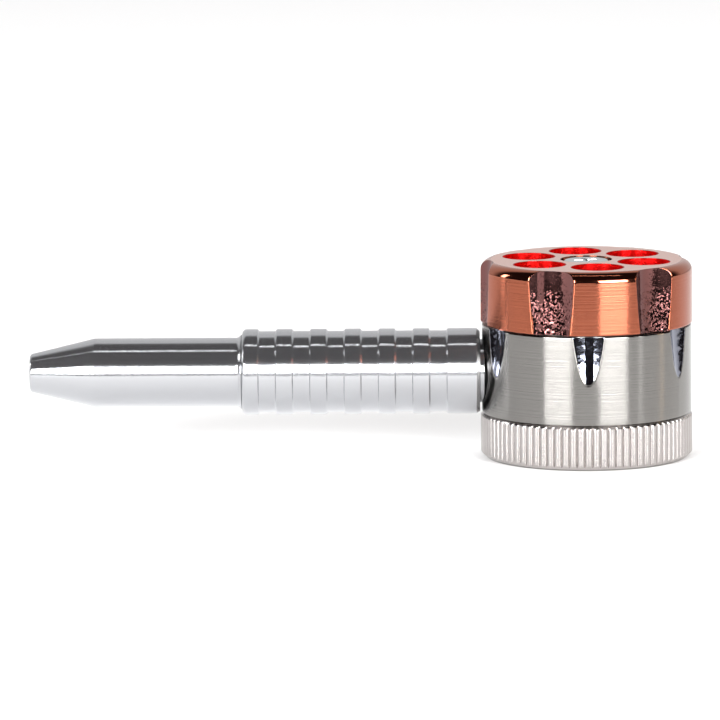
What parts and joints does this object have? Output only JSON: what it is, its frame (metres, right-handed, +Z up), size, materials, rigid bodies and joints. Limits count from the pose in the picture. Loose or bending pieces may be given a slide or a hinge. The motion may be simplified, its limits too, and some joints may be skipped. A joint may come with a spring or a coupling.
{
  "type": "revolving bowl tobacco pipe",
  "caption": "Metal hand pipe: a revolving fluted bowl with round chambers turns on a drum body over a knurled screw-off base, with a ribbed stem and tapered mouthpiece.",
  "frame": {"origin": "on the drum's axis, at the flat underside of the knurled base", "axes": "+Z up along the drum's axis, the stem runs out along -X, the draw port in the deck lies on the +X side"},
  "size_m": [0.1253, 0.04, 0.0374],
  "materials": {
    "bowl_copper_plate": "satin",
    "drum_nickel_plate": "gloss",
    "stem_aluminium": "gloss",
    "screw_steel": "satin",
    "spring_steel": "satin",
    "screen_steel": "satin",
    "gasket_plastic": "satin",
    "insert_nylon": "satin",
    "seal_rubber": "matte"
  },
  "bodies": {
    "body": {"drum_body": "drum_nickel_plate", "deck_gasket": "gasket_plastic", "pivot_screw": "screw_steel", "head_washer": "screw_steel", "spring_seat_washer": "screw_steel", "tension_spring": "spring_steel", "spring_cap_washer": "screw_steel", "lock_nut": "screw_steel", "lock_nut_insert": "insert_nylon"},
    "bowl": {"revolving_bowl": "bowl_copper_plate", "chamber_screen_1": "screen_steel", "chamber_screen_2": "screen_steel", "chamber_screen_3": "screen_steel", "chamber_screen_4": "screen_steel", "chamber_screen_5": "screen_steel", "chamber_screen_6": "screen_steel"},
    "base_seal": {"base_o_ring": "seal_rubber"},
    "base": {"base_cap": "drum_nickel_plate"},
    "barrel_seal": {"barrel_o_ring": "seal_rubber"},
    "barrel": {"grip_barrel": "stem_aluminium"},
    "mouth_seal": {"mouthpiece_o_ring": "seal_rubber"},
    "mouthpiece": {"mouthpiece": "stem_aluminium"}
  },
  "joints": [
    {"name": "bowl_turn", "type": "hinge", "parent": "body", "child": "bowl", "pos_m": [0, 0, 0.0254], "axis": [0, 0, 1], "continuous": true},
    {"name": "base_drop", "type": "slide", "parent": "body", "child": "base_seal", "axis": [0, 0, -1], "range_m": [0, 0.003]},
    {"name": "base_unscrew", "type": "hinge", "parent": "base_seal", "child": "base", "pos_m": [0, 0, 0.0086], "axis": [0, 0, -1], "range_deg": [0, 1080]},
    {"name": "barrel_draw", "type": "slide", "parent": "body", "child": "barrel_seal", "axis": [-1, 0, 0], "range_m": [0, 0.006]},
    {"name": "barrel_unscrew", "type": "hinge", "parent": "barrel_seal", "child": "barrel", "pos_m": [-0.0182, 0, 0.0162], "axis": [-1, 0, 0], "range_deg": [0, 2160]},
    {"name": "mouthpiece_draw", "type": "slide", "parent": "barrel", "child": "mouth_seal", "axis": [-1, 0, 0], "range_m": [0, 0.006]},
    {"name": "mouthpiece_unscrew", "type": "hinge", "parent": "mouth_seal", "child": "mouthpiece", "pos_m": [-0.0651, 0, 0.0162], "axis": [-1, 0, 0], "range_deg": [0, 2160]}
  ],
  "couplings": [
    {"joint": "base_drop", "follows": "base_unscrew", "m_per_rad": 0.00015915},
    {"joint": "barrel_draw", "follows": "barrel_unscrew", "m_per_rad": 0.00015915},
    {"joint": "mouthpiece_draw", "follows": "mouthpiece_unscrew", "m_per_rad": 0.00015915}
  ]
}
